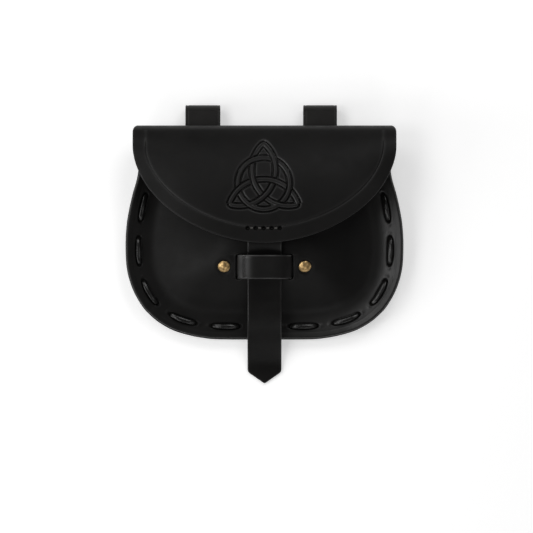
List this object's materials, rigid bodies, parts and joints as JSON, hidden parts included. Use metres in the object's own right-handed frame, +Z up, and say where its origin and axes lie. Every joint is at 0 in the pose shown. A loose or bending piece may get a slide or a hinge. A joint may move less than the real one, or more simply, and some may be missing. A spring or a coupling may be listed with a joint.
{
  "type": "leather belt bag",
  "caption": "Rounded black leather belt bag: laced front, curved flap, strap and keeper that close it, and belt loops behind.",
  "frame": {"origin": "on the surface that the bag lies on, under the middle of its outline", "axes": "+Z up from that surface, +Y up the bag towards its belt loops, +X to the right seen from the front"},
  "size_m": [0.2002, 0.2005, 0.0511],
  "materials": {
    "black_leather": "waxed, soft satin",
    "black_strap_leather": "waxed, satin, burnished edges",
    "black_lace": "satin",
    "antique_brass": "antique, darkened"
  },
  "bodies": {
    "root": {"back_and_flap": "black_leather", "front_panel": "black_leather", "lacing": "black_lace", "closure_strap": "black_strap_leather", "keeper_loop": "black_strap_leather", "rivet_left": "antique_brass", "rivet_right": "antique_brass", "belt_loop_left": "black_strap_leather", "belt_loop_right": "black_strap_leather", "loop_rivet_left": "antique_brass", "loop_rivet_right": "antique_brass"}
  },
  "joints": []
}
